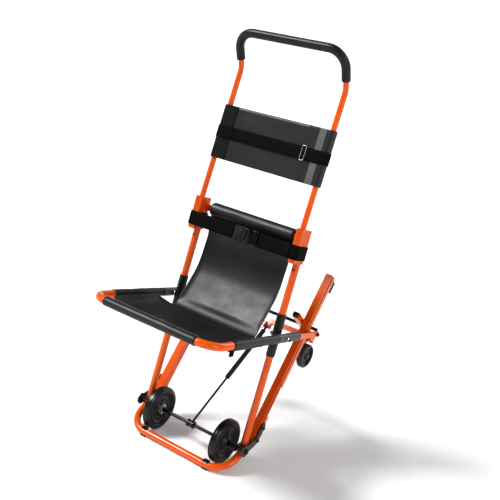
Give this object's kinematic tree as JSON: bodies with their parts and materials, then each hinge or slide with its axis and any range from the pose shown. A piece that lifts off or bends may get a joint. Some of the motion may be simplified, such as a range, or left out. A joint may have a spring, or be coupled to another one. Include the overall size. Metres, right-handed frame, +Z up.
{
  "type": "stair chair",
  "caption": "Folding evacuation stair chair with a sling seat, telescopic push handle, fixed front wheels, hinged track rails and a castor frame on a gas strut.",
  "frame": {"origin": "on the floor, below the middle of the chair's box, with the chair standing on its foot bar and front wheels", "axes": "+Z up, +Y to the chair's rear, +X to the left of a person who sits in it"},
  "size_m": [0.5252, 0.7685, 1.418],
  "materials": {
    "orange_paint": "orange powder coat, semi-gloss",
    "black_rubber": "matt black moulded rubber",
    "tyre_rubber": "matt dark rubber tread",
    "black_plastic": "black moulded plastic",
    "black_steel": "black coated steel",
    "grey_steel": "dark grey coated steel",
    "plain_steel": "bright zinc plated steel",
    "black_vinyl": "black grained vinyl with a soft sheen",
    "black_webbing": "black woven webbing",
    "black_foam": "black closed-cell foam"
  },
  "bodies": {
    "main_frame": {"main_tube": "orange_paint", "foot_pads": "black_rubber", "upright_sleeves": "black_plastic", "axle": "black_steel", "axle_clamps": "black_plastic", "axle_collars": "black_plastic", "axle_nuts": "black_steel", "clamp_block_left": "orange_paint", "clamp_block_right": "orange_paint", "cross_tube": "black_steel", "cross_tube_brackets": "orange_paint", "cross_tube_cover": "black_vinyl", "sling_back": "black_vinyl", "waist_belt_left": "black_webbing", "waist_belt_right": "black_webbing", "buckle_socket": "black_plastic", "buckle_plug": "black_plastic", "belt_slider": "black_plastic", "seat_pivot_bolts": "plain_steel", "frame_screws": "black_steel"},
    "seat": {"seat_tube": "orange_paint", "seat_front_sleeve": "black_vinyl", "seat_side_sleeves": "black_vinyl", "seat_rear_sleeves": "black_vinyl", "seat_pan": "black_vinyl", "seat_stop_bolts": "black_steel", "corner_strap": "black_webbing", "corner_hook": "plain_steel"},
    "handle": {"handle_tube": "orange_paint", "foam_grip": "black_foam", "back_pad": "black_vinyl", "chest_strap": "black_webbing", "chest_buckle": "plain_steel"},
    "rails": {"rail_left": "orange_paint", "rail_right": "orange_paint", "track_belts": "black_rubber", "rail_buffers": "black_rubber", "pivot_plates": "grey_steel", "rail_fasteners": "grey_steel", "rod_lugs": "orange_paint", "cross_rod": "black_steel"},
    "pulley_top_left_body": {"pulley_top_left": "black_plastic"},
    "pulley_bottom_left_body": {"pulley_bottom_left": "black_plastic"},
    "pulley_top_right_body": {"pulley_top_right": "black_plastic"},
    "pulley_bottom_right_body": {"pulley_bottom_right": "black_plastic"},
    "castor_frame": {"castor_legs": "orange_paint", "castor_crossbar": "orange_paint", "leg_caps": "black_rubber", "castor_brackets": "orange_paint", "castor_bolts": "grey_steel"},
    "castor_wheel_left": {"castor_hub_left": "black_plastic", "castor_tyre_left": "tyre_rubber"},
    "castor_wheel_right": {"castor_hub_right": "black_plastic", "castor_tyre_right": "tyre_rubber"},
    "front_wheel_left": {"hub_left": "black_plastic", "tyre_left": "tyre_rubber"},
    "front_wheel_right": {"hub_right": "black_plastic", "tyre_right": "tyre_rubber"},
    "strut_rod_body": {"strut_rod": "black_steel"},
    "strut_cylinder_body": {"strut_cylinder": "black_steel"}
  },
  "joints": [
    {"name": "seat_fold", "type": "hinge", "parent": "main_frame", "child": "seat", "pos_m": [0, 0.03903, 0.4651], "axis": [-1, 0, 0], "range_deg": [0, 78]},
    {"name": "handle_slide", "type": "slide", "parent": "main_frame", "child": "handle", "axis": [0, 0.2459, 0.9693], "range_m": [-0.14, 0]},
    {"name": "rail_fold", "type": "hinge", "parent": "main_frame", "child": "rails", "pos_m": [0, -0.0637, 0.078], "axis": [1, 0, 0], "range_deg": [0, 21]},
    {"name": "castor_fold", "type": "hinge", "parent": "rails", "child": "castor_frame", "pos_m": [0, 0.27362, 0.43364], "axis": [-1, 0, 0], "range_deg": [0, 84]},
    {"name": "strut_swing", "type": "hinge", "parent": "rails", "child": "strut_rod_body", "pos_m": [0, -0.0637, 0.078], "axis": [1, 0, 0], "range_deg": [0, 13.9]},
    {"name": "strut_slide", "type": "slide", "parent": "strut_rod_body", "child": "strut_cylinder_body", "axis": [0, -0.8301, -0.5576], "range_m": [0, 0.0988]},
    {"name": "front_wheel_left_spin", "type": "hinge", "parent": "main_frame", "child": "front_wheel_left", "pos_m": [-0.1445, -0.0637, 0.078], "axis": [1, 0, 0], "continuous": true},
    {"name": "front_wheel_right_spin", "type": "hinge", "parent": "main_frame", "child": "front_wheel_right", "pos_m": [0.1445, -0.0637, 0.078], "axis": [1, 0, 0], "continuous": true},
    {"name": "castor_left_spin", "type": "hinge", "parent": "castor_frame", "child": "castor_wheel_left", "pos_m": [-0.17905, 0.33844, 0.29309], "axis": [1, 0, 0], "continuous": true},
    {"name": "castor_right_spin", "type": "hinge", "parent": "castor_frame", "child": "castor_wheel_right", "pos_m": [0.17905, 0.33844, 0.29309], "axis": [1, 0, 0], "continuous": true},
    {"name": "pulley_top_left_spin", "type": "hinge", "parent": "rails", "child": "pulley_top_left_body", "pos_m": [-0.21025, 0.34916, 0.59442], "axis": [1, 0, 0], "continuous": true},
    {"name": "pulley_bottom_left_spin", "type": "hinge", "parent": "rails", "child": "pulley_bottom_left_body", "pos_m": [-0.21025, 0.00638, 0.08622], "axis": [1, 0, 0], "continuous": true},
    {"name": "pulley_top_right_spin", "type": "hinge", "parent": "rails", "child": "pulley_top_right_body", "pos_m": [0.21025, 0.34916, 0.59442], "axis": [1, 0, 0], "continuous": true},
    {"name": "pulley_bottom_right_spin", "type": "hinge", "parent": "rails", "child": "pulley_bottom_right_body", "pos_m": [0.21025, 0.00638, 0.08622], "axis": [1, 0, 0], "continuous": true}
  ],
  "couplings": [
    {"joint": "strut_swing", "follows": "castor_fold", "ratio": 0.16543},
    {"joint": "strut_slide", "follows": "castor_fold", "m_per_rad": 0.067388},
    {"joint": "pulley_bottom_left_spin", "follows": "pulley_top_left_spin", "ratio": 1},
    {"joint": "pulley_bottom_right_spin", "follows": "pulley_top_right_spin", "ratio": 1}
  ]
}
